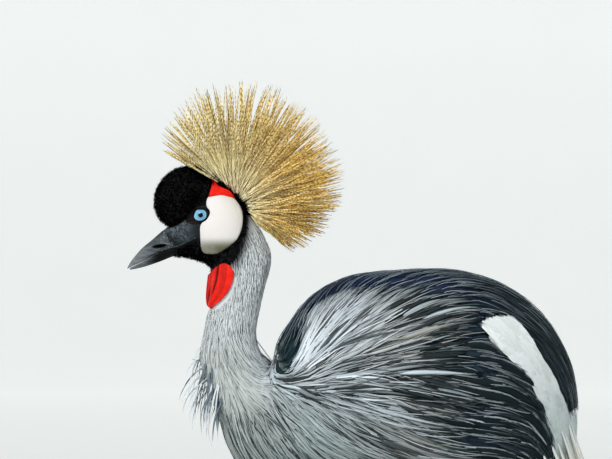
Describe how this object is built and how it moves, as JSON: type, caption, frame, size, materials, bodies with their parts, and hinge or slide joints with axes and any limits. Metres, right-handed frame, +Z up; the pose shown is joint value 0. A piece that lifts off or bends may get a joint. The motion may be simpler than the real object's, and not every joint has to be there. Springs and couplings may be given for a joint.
{
  "type": "grey crowned crane",
  "caption": "Life-size standing grey crowned crane with a fan of golden crest bristles, red throat pouch, white wing patch and folded dark tail.",
  "frame": {"origin": "on the floor between the feet, at the middle of the bird's length and width", "axes": "+Z up, the bird faces -X and its left side is -Y"},
  "size_m": [0.5508, 0.222, 0.8383],
  "materials": {
    "velvet_black": "matte",
    "bill_slate": "satin",
    "eye_blue": "gloss",
    "crest_gold": "satin",
    "skin_white": "matte",
    "skin_red": "matte",
    "plume_grey": "matte",
    "body_slate": "matte",
    "covert_white": "matte",
    "quill_black": "satin",
    "leg_black": "satin",
    "claw_black": "satin"
  },
  "bodies": {
    "root": {"bill_lower": "bill_slate", "bill_upper": "bill_slate", "brow_left": "skin_red", "brow_right": "skin_red", "cheek_left": "skin_white", "cheek_right": "skin_white", "claw_left_hind": "claw_black", "claw_left_inner": "claw_black", "claw_left_middle": "claw_black", "claw_left_outer": "claw_black", "claw_right_hind": "claw_black", "claw_right_inner": "claw_black", "claw_right_middle": "claw_black", "claw_right_outer": "claw_black", "crest": "crest_gold", "eye_left": "eye_blue", "eye_right": "eye_blue", "foot_left": "leg_black", "foot_right": "leg_black", "head": "velvet_black", "neck_lower": "plume_grey", "neck_upper": "plume_grey", "shin_left": "leg_black", "shin_right": "leg_black", "tail": "quill_black", "tarsus_left": "leg_black", "tarsus_right": "leg_black", "thigh_left": "body_slate", "thigh_right": "body_slate", "torso": "body_slate", "wattle": "skin_red", "wing_left": "covert_white", "wing_right": "covert_white"}
  },
  "joints": []
}
